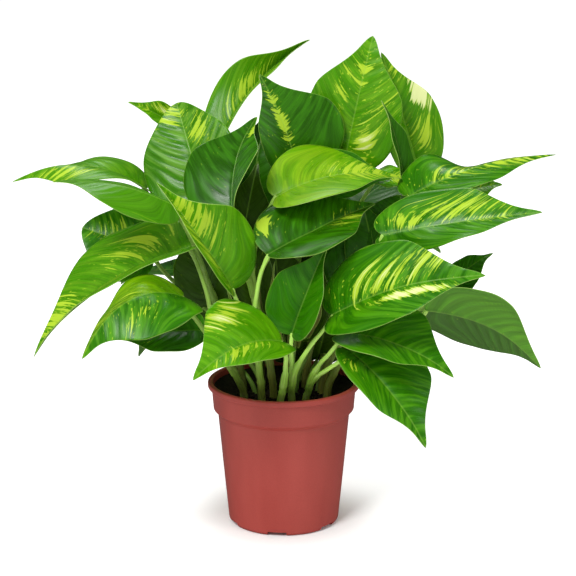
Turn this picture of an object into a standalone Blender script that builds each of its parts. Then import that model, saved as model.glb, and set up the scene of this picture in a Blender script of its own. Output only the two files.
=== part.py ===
"""A potted pothos: a nursery pot of peat, rooted stems with their leaf stalks, and the leaf blades.

Metres, +Z up. The origin is on the pot's axis, where the pot stands. The plant's best side looks along -Y.
"""

import math

import bmesh
import bpy
from mathutils import Vector

MM = 0.001
GAP = 0.3 * MM  # left between pieces that touch
SEAT_GAP = 0.15 * MM  # under a blade's midrib

# Pot: a 12 cm injection-moulded nursery pot.
POT_HEIGHT = 115.0 * MM
POT_WALL = 1.5 * MM
RIM_RADIUS = 60.0 * MM
COLLAR_TOP_RADIUS = 57.0 * MM
COLLAR_FOOT_RADIUS = 55.5 * MM
COLLAR_HEIGHT = 22.5 * MM
COLLAR_STEP = 3.0 * MM
COLLAR_FOOT = POT_HEIGHT - COLLAR_HEIGHT
SHOULDER = COLLAR_FOOT - COLLAR_STEP
BODY_TOP_RADIUS = 52.1 * MM
BODY_FOOT_RADIUS = 43.7 * MM
INNER_FOOT_RADIUS = 41.2 * MM
FOOT_RADIUS = 41.2 * MM
FOOT_ROUNDING = 3.0 * MM
FOOT_RING_WIDTH = 4.0 * MM
CENTRE_PAD_RADIUS = 14.0 * MM
FLOOR_RECESS = 3.2 * MM
FLOOR_TOP = FLOOR_RECESS + POT_WALL
TURN_STEPS = 48
NOTCHES = 6
NOTCH_WIDTH = 15.0 * MM
NOTCH_HEIGHT = 3.2 * MM
NOTCH_DEPTH = 12.0 * MM  # through the foot ring
FIRST_NOTCH = math.radians(-97)
DRAIN_HOLE_RADIUS = 3.5 * MM
DRAIN_HOLE_CIRCLE = 26.0 * MM

# Peat
SOIL_TOP = 101.0 * MM
SOIL_CROWN = 2.0 * MM

# Stems and leaf stalks
STEM_RADIUS = 3.2 * MM
STEM_SIDES = 8
ROOT_DEPTH = 8.0 * MM
STALK_FOOT_RADIUS = 2.2 * MM
STALK_TOP_RADIUS = 1.5 * MM
STALK_POINTS = 8
STALK_SIDES = 6
FIRST_STALK = 0.94  # of the stem, where its first stalk leaves it
NEXT_STALK = 0.17  # of the stem, from one stalk down to the next
STALK_REACH = 0.38  # of a stalk's length, how long it keeps the direction of each end

# Leaf blades
BLADE_THICKNESS = 0.8 * MM
BLADE_ROWS = 8
BLADE_COLUMNS = 4
LOBE_DEPTH = 0.10  # of the blade's length, how far the heart's lobes reach behind the stalk
LOBE_FADE = 0.16
LOBE_ROUNDNESS = 0.33
SEAT_SHARE = 0.02  # of the midrib, where the stalk ends under the blade
SEAT_CLEARANCE = 1.4  # of the stalk's radius, for a stalk that runs along the blade

TWIG_GREEN = (0.20, 0.42, 0.06)
PEAT = (0.015, 0.011, 0.006)
TERRACOTTA = (0.44, 0.077, 0.058)
LEAF_GREENS = {
    "plain": (0.045, 0.20, 0.006),
    "dark": (0.022, 0.11, 0.004),
    "bright": (0.20, 0.42, 0.012),
    "streaked": (0.12, 0.31, 0.02),
}


def leaf(name, stem, base, tip, width, face, arch=0.1, fold=(12, 12), tip_fold=None, turning=(0, 1), cup=-15,
         sweep=0.0, twist=0, hook=0.0, nod=0.0, lean=0.0, point=1.0, lobe=LOBE_DEPTH, green="plain"):
    """A blade. base is where the stalk meets it and tip is its point, in mm. face is the way its upper side
    looks: degrees round from the front towards +X, and degrees above level. arch is the midrib's rise and
    sweep its sideways bow, in lengths, and nod and hook are the same at its point alone. fold is how far
    each half, left and right, is lifted from flat at the stalk, and tip_fold at the point: it goes from one
    to the other over the shares of the length in turning. cup is how much further the edge is lifted, and
    twist the turn about the midrib by the tip, in degrees. lean makes the right half the wider, point draws
    the tip in to a drip tip, and lobe is the reach of the heart's lobes, in lengths."""
    ends = {"base": Vector(base) * MM, "tip": Vector(tip) * MM, "width": width * MM}
    return dict(name=name, stem=stem, face=face, arch=arch, fold=fold, tip_fold=tip_fold or fold,
                turning=turning, cup=cup, sweep=sweep, twist=twist, hook=hook, nod=nod, lean=lean, point=point,
                lobe=lobe, green=green, **ends)


def back_leaf(name, stem, turn, base, tip, width, rise=50, **shape):
    """A blade placed by its turn round the pot's axis, from +Y towards +X. Its ends are (radius, height)."""
    way = Vector((math.sin(math.radians(turn)), math.cos(math.radians(turn)), 0))
    ends = [way * radius + Vector((0, 0, height)) for radius, height in (base, tip)]
    return leaf(name, stem, *ends, width, (180 - turn, rise), **shape)


# Each stem: where it stands in the peat, and its top, in mm.
STEMS = {
    "stem_front": ((-3, -37), (0, -43, 124)),
    "stem_front_right": ((6, -27), (7, -37, 128)),
    "stem_right_low": ((17, -20), (21, -28, 122)),
    "stem_front_left": ((-17, -27), (-20, -36, 150)),
    "stem_left_low": ((-31, -12), (-45, -24, 140)),
    "stem_left": ((-32, 6), (-50, 0, 170)),
    "stem_middle": ((-8, -9), (-24, -8, 190)),
    "stem_left_back": ((-18, 24), (-30, 38, 210)),
    "stem_centre": ((4, 8), (10, 18, 205)),
    "stem_right_back": ((17, 18), (42, 26, 205)),
    "stem_right_high": ((30, 6), (72, 20, 185)),
    "stem_right": ((34, -6), (66, -14, 165)),
    "stem_back_right": ((27, 30), (45, 60, 150)),
    "stem_back": ((5, 38), (4, 56, 160)),
    "stem_back_left": ((-20, 40), (-38, 62, 150)),
}

LEAVES = [
    # left side, from the top down
    leaf("leaf_left_top_back", "stem_left_back", (-83, 88, 301), (-125, 78, 324), 24, (0, 40), arch=0.05,
         fold=(40, 50), green="bright"),
    leaf("leaf_left_round", "stem_left_back", (-60, 17, 253), (-85, 61, 326), 76, (-14, 32), arch=0.03,
         fold=(10, 26), cup=-24, lean=-0.05, point=0.3, green="streaked"),
    leaf("leaf_left_tall", "stem_left_back", (-52, 53, 291), (21, 103, 371), 60, (-10, 30), arch=0,
         fold=(0, 75), tip_fold=(72, 62), turning=(0.15, 0.85), cup=-9, sweep=-0.09, lean=0.15,
         green="bright"),
    leaf("leaf_left_centre", "stem_middle", (-38, -30, 249), (-23, 12, 323), 78, (-18, 25), arch=0,
         fold=(5, 76), tip_fold=(42, 35), cup=-12, sweep=-0.08, hook=0.03),
    leaf("leaf_far_left", "stem_left", (-109, 33, 263), (-212, 22, 270), 56, (-6, 60), arch=0.2, fold=(42,
         0), tip_fold=(-10, -60), cup=-12),
    leaf("leaf_left_middle", "stem_left", (-83, -32, 263), (-175, -25, 279), 45, (-6, 50), arch=0.12,
         fold=(-5, -50), tip_fold=(35, -40), cup=-5, lean=-0.15, lobe=0.14),
    leaf("leaf_front_slant", "stem_front_left", (-38, -38, 198), (-94, -58, 285), 62, (11, 32), arch=0.12,
         fold=(60, 10), tip_fold=(60, 65), turning=(0.3, 1), cup=-10, sweep=-0.02, lean=0.2, lobe=0.05,
         green="streaked"),
    leaf("leaf_left_shaded", "stem_left", (-103, 28, 209), (-160, 36, 230), 64, (-5, 40), arch=0.05,
         fold=(5, 5), cup=-10, point=0.3, green="streaked"),
    leaf("leaf_left_large", "stem_left_low", (-71, -27, 229), (-195, -14, 138), 84, (-23, 66), arch=0.08,
         fold=(34, 18), cup=-13, sweep=0.05, lean=0.1),
    leaf("leaf_left_curled", "stem_left_low", (-75, -61, 199), (-147, -109, 164), 72, (-14, 70),
         arch=0.26, fold=(0, 18), tip_fold=(-20, -30), turning=(0, 0.6), cup=-10, lean=-0.1,
         green="bright"),
    leaf("leaf_left_low", "stem_left_low", (-63, -37, 166), (-131, -45, 161), 46, (-12, 45), arch=0.05,
         fold=(20, 10), lean=0.05, green="dark"),
    # the middle
    leaf("leaf_front_low", "stem_front", (-1, -54, 162), (-66, -113, 149), 66, (-5, 45), arch=0.12,
         fold=(20, 20), cup=-8, sweep=0.05, lean=0.2, lobe=0.08),
    leaf("leaf_front_small", "stem_front_right", (6, -40, 163), (33, -46, 235), 50, (-9, 29), arch=0.05,
         fold=(20, 42), cup=-10, lean=-0.12, lobe=0.05, green="dark"),
    leaf("leaf_centre", "stem_front_left", (-12, -44, 227), (71, 4, 256), 76, (-7, 50), arch=0.06,
         fold=(18, 42), cup=-30, sweep=0.02, lobe=0.06),
    leaf("leaf_centre_bright", "stem_middle", (-6, -10, 264), (92, 10, 275), 74, (0, 8), arch=0.0,
         fold=(-30, 75), tip_fold=(-62, 75), turning=(0, 0.9), cup=-8, sweep=-0.1, lobe=0.1,
         green="bright"),
    leaf("leaf_centre_dark", "stem_centre", (10, 34, 275), (86, 32, 271), 40, (0, 15), arch=0.06,
         fold=(10, 10), cup=-8, green="dark"),
    leaf("leaf_centre_behind", "stem_right_back", (72, 39, 270), (106, 34, 267), 26, (0, 60), arch=0.06,
         green="streaked"),
    leaf("leaf_top_dark", "stem_centre", (12, 41, 270), (-19, 42, 351), 70, (0, 18), arch=0, fold=(30,
         10), cup=-10, sweep=0.04, lean=0.3, lobe=0.06, green="dark"),
    leaf("leaf_shaded_middle", "stem_left_back", (-26, 58, 245), (-14, 80, 314), 60, (-10, 20),
         green="dark"),
    # right side, from the top down
    leaf("leaf_top_tall", "stem_right_back", (48, 50, 280), (70, 54, 380), 76, (-6, 22), arch=0.04,
         fold=(10, 14), cup=-16, point=0.8, green="streaked"),
    leaf("leaf_top_back", "stem_right_high", (108, 68, 271), (77, 62, 366), 52, (8, 12), arch=0.06,
         fold=(30, 12), cup=-6, lean=0.1, green="streaked"),
    leaf("leaf_top_rolled", "stem_right_back", (96, 28, 264), (76, 28, 333), 22, (45, 15), arch=0.04,
         fold=(40, 40), green="dark"),
    leaf("leaf_right_high", "stem_right_high", (96, -2, 263), (210, 8, 294), 54, (0, 46), arch=0.12,
         fold=(-5, 20), tip_fold=(-52, 10), turning=(0.15, 0.5), cup=-10, lean=-0.3, green="streaked"),
    leaf("leaf_right_behind", "stem_right_high", (136, 38, 255), (172, 30, 266), 34, (20, 50),
         green="dark"),
    leaf("leaf_right_inner", "stem_right_high", (87, 20, 227), (92, 24, 259), 52, (0, 20), point=0.3,
         green="dark"),
    leaf("leaf_right_upper", "stem_right", (74, -34, 240), (192, -60, 263), 50, (1, 45), arch=0.02,
         fold=(3, -35), tip_fold=(3, 15), turning=(0.1, 0.6), cup=-6, lean=-0.3, green="streaked"),
    leaf("leaf_right_hidden", "stem_right", (130, 22, 186), (164, 12, 215), 30, (0, 50), lean=0.3,
         green="dark"),
    leaf("leaf_front_large", "stem_front_right", (36, -50, 181), (148, -90, 222), 68, (10, 39), arch=0.07,
         fold=(20, 20), cup=-18, sweep=-0.03, lean=-0.15, green="streaked"),
    leaf("leaf_right_underside", "stem_right", (110, -12, 176), (200, -22, 131), 84, (148, 36), arch=0.12,
         fold=(8, 8), cup=-10),
    leaf("leaf_right_plain", "stem_right_low", (45, -45, 166), (127, -83, 142), 60, (18, 50), fold=(10,
         16), cup=-6, sweep=-0.02, lean=-0.2),
    leaf("leaf_right_low", "stem_right_low", (49, -40, 152), (107, -84, 87), 62, (20, 46), fold=(14, 14),
         cup=-18, lean=-0.3, green="dark"),
    # the back
    back_leaf("leaf_back_high_left", "stem_back_left", -21, (86, 246), (172, 262), 74, rise=45),
    back_leaf("leaf_back_high", "stem_back", 10, (80, 274), (162, 304), 78, rise=35, green="streaked"),
    back_leaf("leaf_back_high_right", "stem_back_right", 38, (86, 232), (172, 252), 72, rise=45),
    back_leaf("leaf_back_far_left", "stem_back_left", -54, (92, 188), (168, 168), 76, rise=60,
              green="streaked"),
    back_leaf("leaf_back_middle_left", "stem_back_left", -30, (94, 208), (190, 184), 80, rise=52),
    back_leaf("leaf_back_middle", "stem_back", 10, (94, 218), (190, 198), 82, rise=52,
              green="streaked"),
    back_leaf("leaf_back_middle_right", "stem_back_right", 46, (94, 206), (184, 188), 78, rise=54,
              green="bright"),
    back_leaf("leaf_back_far_right", "stem_back_right", 64, (92, 186), (160, 172), 58, rise=58),
    back_leaf("leaf_back_low_left", "stem_back_left", -58, (80, 158), (142, 112), 70, rise=42),
    back_leaf("leaf_back_low_middle_left", "stem_back", -14, (80, 164), (156, 118), 74, rise=42,
              green="streaked"),
    back_leaf("leaf_back_low_middle", "stem_back", 24, (80, 156), (144, 98), 68, rise=36),
    back_leaf("leaf_back_low_right", "stem_back_right", 62, (82, 152), (144, 106), 68, rise=42,
              green="streaked"),
]


def material(name, colour, roughness):
    made = bpy.data.materials.new(name)
    made.use_nodes = True
    shader = made.node_tree.nodes["Principled BSDF"]
    shader.inputs["Base Color"].default_value = (*colour, 1)
    shader.inputs["Roughness"].default_value = roughness
    made.diffuse_color = (*colour, 1)
    return made


def add_object(name, mesh, collection, finish=None):
    made = bpy.data.objects.new(name, mesh)
    collection.objects.link(made)
    if finish:
        mesh.materials.append(finish)
    return made


def hidden(cutter):
    cutter.hide_render = True
    cutter.display_type = "WIRE"
    return cutter


def boolean(target, cutter, operation):
    modifier = target.modifiers.new(cutter.name, "BOOLEAN")
    modifier.operation = operation
    modifier.object = cutter


def turned(name, profile, collection, finish):
    """A turned piece from its profile: (radius, height) pairs that run down its outer side."""
    mesh = bpy.data.meshes.new(name)
    edges = [(i, i + 1) for i in range(len(profile) - 1)]
    mesh.from_pydata([(radius, 0, height) for radius, height in profile], edges, [])
    made = add_object(name, mesh, collection, finish)
    screw = made.modifiers.new("Turn", "SCREW")
    screw.steps = screw.render_steps = TURN_STEPS
    screw.use_merge_vertices = True
    screw.merge_threshold = 0.0001
    screw.use_smooth_shade = True
    return made


def cylinder_cutter(name, radius, sides, low, high, place, collection):
    shape = bmesh.new()
    size = {"radius1": radius, "radius2": radius, "depth": high - low}
    bmesh.ops.create_cone(shape, cap_ends=True, segments=sides, **size)
    bmesh.ops.translate(shape, vec=(*place, (low + high) / 2), verts=shape.verts)
    mesh = bpy.data.meshes.new(name)
    shape.to_mesh(mesh)
    shape.free()
    return hidden(add_object(name, mesh, collection))


def rounded_foot(radius, rounding, steps=3):
    """The outer wall's last points, as its foot turns under."""
    turns = [math.radians(90 * i / steps) for i in range(steps + 1)]
    return [(radius + rounding * (math.cos(t) - 1), rounding * (1 - math.sin(t))) for t in turns]


def make_pot(parts, cutters):
    lip = RIM_RADIUS - COLLAR_TOP_RADIUS
    ring_inner = FOOT_RADIUS - FOOT_RING_WIDTH
    inside = [
        (0, FLOOR_TOP),
        (INNER_FOOT_RADIUS, FLOOR_TOP),
        (BODY_TOP_RADIUS - POT_WALL, SHOULDER - POT_WALL),
        (COLLAR_FOOT_RADIUS - POT_WALL, COLLAR_FOOT - POT_WALL / 2),
        (COLLAR_TOP_RADIUS - POT_WALL, POT_HEIGHT - 3 * MM),
    ]
    rim = [
        (RIM_RADIUS - 2.8 * MM, POT_HEIGHT),
        (RIM_RADIUS - 1.2 * MM, POT_HEIGHT),
        (RIM_RADIUS, POT_HEIGHT - 1.3 * MM),
        (RIM_RADIUS, POT_HEIGHT - lip - 0.6 * MM),
        (RIM_RADIUS - 0.9 * MM, POT_HEIGHT - lip - 1.6 * MM),
        (COLLAR_TOP_RADIUS, POT_HEIGHT - lip - 1.8 * MM),
    ]
    outside = [(COLLAR_FOOT_RADIUS, COLLAR_FOOT), (BODY_TOP_RADIUS, SHOULDER)]
    outside += rounded_foot(BODY_FOOT_RADIUS, FOOT_ROUNDING)
    underside = [
        (ring_inner, 0),
        (ring_inner - 0.6 * MM, FLOOR_RECESS),
        (CENTRE_PAD_RADIUS + 0.6 * MM, FLOOR_RECESS),
        (CENTRE_PAD_RADIUS, 0),
        (0, 0),
    ]
    plastic = material("pot_plastic", TERRACOTTA, 0.5)
    pot = turned("pot", inside + rim + outside + underside, parts, plastic)
    for i in range(NOTCHES):
        turn = FIRST_NOTCH + math.tau * i / NOTCHES
        shape = bmesh.new()
        bmesh.ops.create_cube(shape, size=1)
        bmesh.ops.scale(shape, vec=(NOTCH_DEPTH, NOTCH_WIDTH, 2 * NOTCH_HEIGHT), verts=shape.verts)
        bmesh.ops.translate(shape, vec=(ring_inner + NOTCH_DEPTH / 2 - MM, 0, 0), verts=shape.verts)
        mesh = bpy.data.meshes.new("notch")
        shape.to_mesh(mesh)
        shape.free()
        notch = hidden(add_object(f"notch_{i}", mesh, cutters))
        notch.rotation_euler.z = turn
        boolean(pot, notch, "DIFFERENCE")
        between = turn + math.pi / NOTCHES
        place = DRAIN_HOLE_CIRCLE * Vector((math.cos(between), math.sin(between)))
        drain = cylinder_cutter(f"drain_{i}", DRAIN_HOLE_RADIUS, 12, -MM, FLOOR_TOP + MM, place, cutters)
        boolean(pot, drain, "DIFFERENCE")
    return pot


def make_soil(parts, cutters):
    clearance = POT_WALL + 1.5 * GAP
    profile = [
        (0, SOIL_TOP + SOIL_CROWN),
        (30 * MM, SOIL_TOP + SOIL_CROWN * 0.6),
        (COLLAR_FOOT_RADIUS - clearance, SOIL_TOP),
        (COLLAR_FOOT_RADIUS - clearance, COLLAR_FOOT),
        (BODY_TOP_RADIUS - clearance, SHOULDER - POT_WALL),
        (INNER_FOOT_RADIUS - 1.5 * GAP, FLOOR_TOP + GAP),
        (0, FLOOR_TOP + GAP),
    ]
    soil = turned("soil", profile, parts, material("peat", PEAT, 0.95))
    for name, (root, _) in STEMS.items():
        foot = SOIL_TOP - ROOT_DEPTH - GAP
        above = SOIL_TOP + 10 * MM
        socket = cylinder_cutter("socket_" + name, STEM_RADIUS + 2 * GAP, STEM_SIDES, foot, above,
                                 Vector(root) * MM, cutters)
        boolean(soil, socket, "DIFFERENCE")
    return soil


def bezier(points, share):
    """A point on the cubic curve through these four control points, and its direction."""
    a, b, c, d = points
    rest = 1 - share
    place = a * rest**3 + b * 3 * rest**2 * share + c * 3 * rest * share**2 + d * share**3
    way = (b - a) * rest**2 + (c - b) * 2 * rest * share + (d - c) * share**2
    return place, way.normalized()


def tube_mesh(name, path, radii, sides):
    """A tube with filled caps through these points, as a mesh."""
    curve = bpy.data.curves.new(name, "CURVE")
    curve.dimensions = "3D"
    curve.bevel_depth = 1.0
    curve.bevel_resolution = (sides - 4) // 2
    curve.use_fill_caps = True
    spline = curve.splines.new("POLY")
    spline.points.add(len(path) - 1)
    for point, place, radius in zip(spline.points, path, radii):
        point.co = (*place, 1)
        point.radius = radius
    holder = bpy.data.objects.new(name, curve)
    bpy.context.scene.collection.objects.link(holder)
    bpy.context.view_layer.update()
    graph = bpy.context.evaluated_depsgraph_get()
    mesh = bpy.data.meshes.new_from_object(holder.evaluated_get(graph))
    mesh.name = name
    shape = bmesh.new()
    shape.from_mesh(mesh)
    bmesh.ops.remove_doubles(shape, verts=shape.verts, dist=0.00001)
    shape.to_mesh(mesh)
    shape.free()
    bpy.data.objects.remove(holder)
    bpy.data.curves.remove(curve)
    return mesh


def stem_points(name):
    """Control points of a stem: straight out of the peat, then leaning towards its top."""
    root, top = STEMS[name]
    foot = Vector((*root, 0)) * MM + Vector((0, 0, SOIL_TOP))
    top = Vector(top) * MM
    rise = (top.z - foot.z) * 0.4
    return [foot, foot + Vector((0, 0, rise)), top - (top - foot) * 0.3, top]


def leaf_axes(blade):
    """The blade's length and its directions: along the midrib, out of its upper side, and to its right."""
    along = blade["tip"] - blade["base"]
    length = along.length
    along.normalize()
    turn, rise = (math.radians(angle) for angle in blade["face"])
    out = Vector((math.sin(turn) * math.cos(rise), -math.cos(turn) * math.cos(rise), math.sin(rise)))
    out = (out - along * out.dot(along)).normalized()
    return length, along, out, along.cross(out)


def stalk_seat(blade):
    """Where a stalk ends, just under the foot of the midrib, and the way it arrives there."""
    _, along, out, _ = leaf_axes(blade)
    here, ahead = blade_point(blade, SEAT_SHARE, 0), blade_point(blade, 3 * SEAT_SHARE, 0)
    rib = (ahead - here).normalized()
    up = (out - rib * out.dot(rib)).normalized()
    arrive = Vector((along.x * 0.5, along.y * 0.5, 0.8)).normalized()
    slant = math.sqrt(max(0, 1 - arrive.dot(up) ** 2))
    below = BLADE_THICKNESS / 2 + SEAT_GAP + SEAT_CLEARANCE * STALK_TOP_RADIUS * slant
    return here - up * below, arrive


def make_stem(name, leaves, parts, cutters, finish):
    path = [stem_points(name)[0] - Vector((0, 0, ROOT_DEPTH))]
    path += [bezier(stem_points(name), i / 5)[0] for i in range(6)]
    radii = [STEM_RADIUS] * 3 + [STEM_RADIUS * (1 - 0.06 * i) for i in range(1, 5)]
    stem = add_object(name, tube_mesh(name, path, radii, STEM_SIDES), parts, finish)
    for i, blade in enumerate(leaves):
        start, way = bezier(stem_points(name), FIRST_STALK - NEXT_STALK * i)
        seat, arrive = stalk_seat(blade)
        reach = (seat - start).length * STALK_REACH
        control = [start, start + way * reach, seat - arrive * reach, seat]
        shares = [j / (STALK_POINTS - 1) for j in range(STALK_POINTS)]
        path = [bezier(control, share)[0] for share in shares]
        radii = [STALK_FOOT_RADIUS + (STALK_TOP_RADIUS - STALK_FOOT_RADIUS) * share for share in shares]
        stalk = add_object("stalk_of_" + blade["name"], tube_mesh("stalk", path, radii, STALK_SIDES), cutters)
        boolean(stem, hidden(stalk), "UNION")
    return stem


def smooth(low, high, x):
    share = min(1, max(0, (x - low) / (high - low)))
    return share * share * (3 - 2 * share)


def half_width(x, point):
    """Half the blade's width at a share of its length, before it is scaled to 1 at its widest."""
    return x**0.42 * (1 - x) ** (0.6 + 0.15 * point) * (1 - 0.6 * point * smooth(0.55, 0.92, x))


WIDEST = max(half_width(i / 200, 1) for i in range(201))


def flat_point(blade, u, v):
    """The flat outline: u runs from the stalk to the tip and v across, -1 to 1. Its result is in lengths and
    half widths. A row of constant u follows a side vein, back into the lobes and forward to the margin."""
    edge = min(1, u**1.55 + 0.10 * u * math.sin(math.pi * u))
    width = half_width(edge, blade["point"]) / WIDEST
    lobe = blade["lobe"] * math.exp(-edge / LOBE_FADE) * (1 - math.exp(-width / LOBE_ROUNDNESS))
    middle = u**1.12
    return middle + (edge - lobe - middle) * abs(v) ** 1.15, width * v


def bend(slope, curl, reach):
    """How far a half reaches across and out when it leaves the midrib at a slope and turns by curl."""
    slope, curl = math.radians(slope), math.radians(curl)
    if abs(curl) < 0.01:
        return reach * math.cos(slope), reach * math.sin(slope)
    end = slope + curl * reach
    return (math.sin(end) - math.sin(slope)) / curl, (math.cos(slope) - math.cos(end)) / curl


def blade_point(blade, u, v):
    length, along, out, side = leaf_axes(blade)
    x, y = flat_point(blade, u, v)
    half = int(v > 0)
    foot, point = blade["fold"][half], blade["tip_fold"][half]
    slope = foot + (point - foot) * smooth(*blade["turning"], x)
    across, lift = bend(slope, blade["cup"], abs(y) * (1 + (blade["lean"] if half else -blade["lean"])))
    across, lift = math.copysign(across, v) * blade["width"] / 2, lift * blade["width"] / 2
    turn = math.radians(blade["twist"]) * x
    bow, tipward = 4 * x * (1 - x) * length, max(0, (x - 0.6) / 0.4) ** 2 * length
    outward = blade["arch"] * bow + blade["nod"] * tipward + lift * math.cos(turn) + across * math.sin(turn)
    sideways = (blade["sweep"] * bow + blade["hook"] * tipward + across * math.cos(turn)
                - lift * math.sin(turn))
    return blade["base"] + along * length * x + out * outward + side * sideways


def make_blade(blade, parts, finish):
    shape = bmesh.new()
    bmesh.ops.create_grid(shape, x_segments=BLADE_ROWS, y_segments=BLADE_COLUMNS, size=0.5)
    for vert in shape.verts:
        vert.co = blade_point(blade, vert.co.x + 0.5, -2 * vert.co.y)
    bmesh.ops.remove_doubles(shape, verts=shape.verts, dist=0.00001)
    mesh = bpy.data.meshes.new(blade["name"])
    shape.to_mesh(mesh)
    shape.free()
    mesh.shade_smooth()
    made = add_object(blade["name"], mesh, parts, finish)
    wall = made.modifiers.new("Thickness", "SOLIDIFY")
    wall.thickness = BLADE_THICKNESS
    wall.offset = 0
    return made


def main():
    for old in list(bpy.data.objects):
        bpy.data.objects.remove(old)
    scene = bpy.context.scene
    parts = bpy.data.collections.new("potted_pothos")
    cutters = bpy.data.collections.new("cutters")
    for collection in (parts, cutters):
        scene.collection.children.link(collection)
    make_pot(parts, cutters)
    make_soil(parts, cutters)
    twig = material("stem", TWIG_GREEN, 0.45)
    for name in STEMS:
        make_stem(name, [blade for blade in LEAVES if blade["stem"] == name], parts, cutters, twig)
    greens = {name: material("leaf_" + name, colour, 0.3) for name, colour in LEAF_GREENS.items()}
    for blade in LEAVES:
        make_blade(blade, parts, greens[blade["green"]])


main()
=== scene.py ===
import math
import random
import bmesh
import bpy
from mathutils import Matrix, Vector, noise


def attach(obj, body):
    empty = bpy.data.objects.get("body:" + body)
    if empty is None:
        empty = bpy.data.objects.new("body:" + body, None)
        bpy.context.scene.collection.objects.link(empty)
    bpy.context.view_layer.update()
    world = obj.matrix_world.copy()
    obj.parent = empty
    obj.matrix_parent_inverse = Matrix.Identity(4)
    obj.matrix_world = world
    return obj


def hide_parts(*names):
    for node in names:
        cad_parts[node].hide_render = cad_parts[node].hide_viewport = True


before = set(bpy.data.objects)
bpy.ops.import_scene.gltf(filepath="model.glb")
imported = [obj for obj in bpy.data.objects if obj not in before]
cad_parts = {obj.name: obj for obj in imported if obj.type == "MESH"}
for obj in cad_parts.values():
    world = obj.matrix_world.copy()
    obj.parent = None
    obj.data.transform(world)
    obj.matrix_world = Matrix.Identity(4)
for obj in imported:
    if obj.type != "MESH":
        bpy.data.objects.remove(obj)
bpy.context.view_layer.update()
mm = 0.001

def srgb(hexColour):
    levels = [int(hexColour[i:i + 2], 16) / 255 for i in (1, 3, 5)]
    return [c / 12.92 if c <= 0.04045 else ((c + 0.055) / 1.055) ** 2.4 for c in levels]

def smooth(low, high, x):
    t = min(1, max(0, (x - low) / (high - low)))
    return t * t * (3 - 2 * t)

def finishPiece(name, bm, node, materials):
    mesh = bpy.data.meshes.new(name)
    bm.to_mesh(mesh)
    bm.free()
    mesh.shade_smooth()
    piece = bpy.data.objects.new(name, mesh)
    bpy.context.scene.collection.objects.link(piece)
    for material in materials:
        mesh.materials.append(material)
    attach(piece, "root")
    if node:
        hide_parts(node)
    return piece

def connect(tree, node, inputs):
    # a node given as a value is read at the first output that is in use
    for socket, value in inputs.items():
        if isinstance(value, bpy.types.Node):
            value = next(output for output in value.outputs if output.enabled)
        if isinstance(value, bpy.types.NodeSocket):
            tree.links.new(value, node.inputs[socket])
        else:
            node.inputs[socket].default_value = value

def addNode(tree, kind, inputs, **settings):
    node = tree.nodes.new("ShaderNode" + kind)
    for name, value in settings.items():
        setattr(node, name, value)
    connect(tree, node, inputs)
    return node

def newMaterial(name, constants):
    material = bpy.data.materials.new(name)
    material.use_nodes = True
    tree = material.node_tree
    shader = tree.nodes["Principled BSDF"]
    connect(tree, shader, constants)
    return material, tree, shader

lamina = {
    "rows": 84,            # from stalk to tip, each along a side vein
    "columns": 44,         # across, closer together at the midrib
    "closer": 1.3,
    "innerDetail": 0.4,    # of those rows and columns, for blades deep inside
    "thickness": 1.5,      # of the midrib at its foot; the lamina between veins is a share of it
    "thinShare": 0.28,
    "lobeDepth": 0.10,
    "sideVeins": 10,
    "veinWidth": 0.13,     # of the gap between two side veins
    "quilting": 0.2,       # mm that the lamina bulges between side veins
    "groove": 0.5,         # mm that the midrib lies below the face
    "waves": 0.9,          # mm of ripple at the margin
    "drift": 1.6,          # mm of slow unevenness
    "halfBlend": 0.04,     # of the half width, where the greens of two halves meet
    "tipBlend": (0.35, 0.8),
    "mottled": (0.2, 0.7),    # how much of the paler green shows on plain blades and on streaked ones
}

# greens: shade, and the paler green that mottles it
greens = {
    "plain": ("#2C7000", "#529A02"),
    "mid": ("#468A00", "#66A206"),
    # shaded: a dark green for the blades deep in the middle, painted shade
    "shaded": ("#304F02", "#466A06"),
    "papery": ("#767A34", "#A8AA62"),
    "deep": ("#285F00", "#3C8400"),
    "fresh": ("#4A9000", "#68AC08"),
    "lime": ("#629C00", "#86B408"),
    "olive": ("#568F00", "#83B408"),
    "grey": ("#3C7C08", "#6AA22A"),
}

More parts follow.
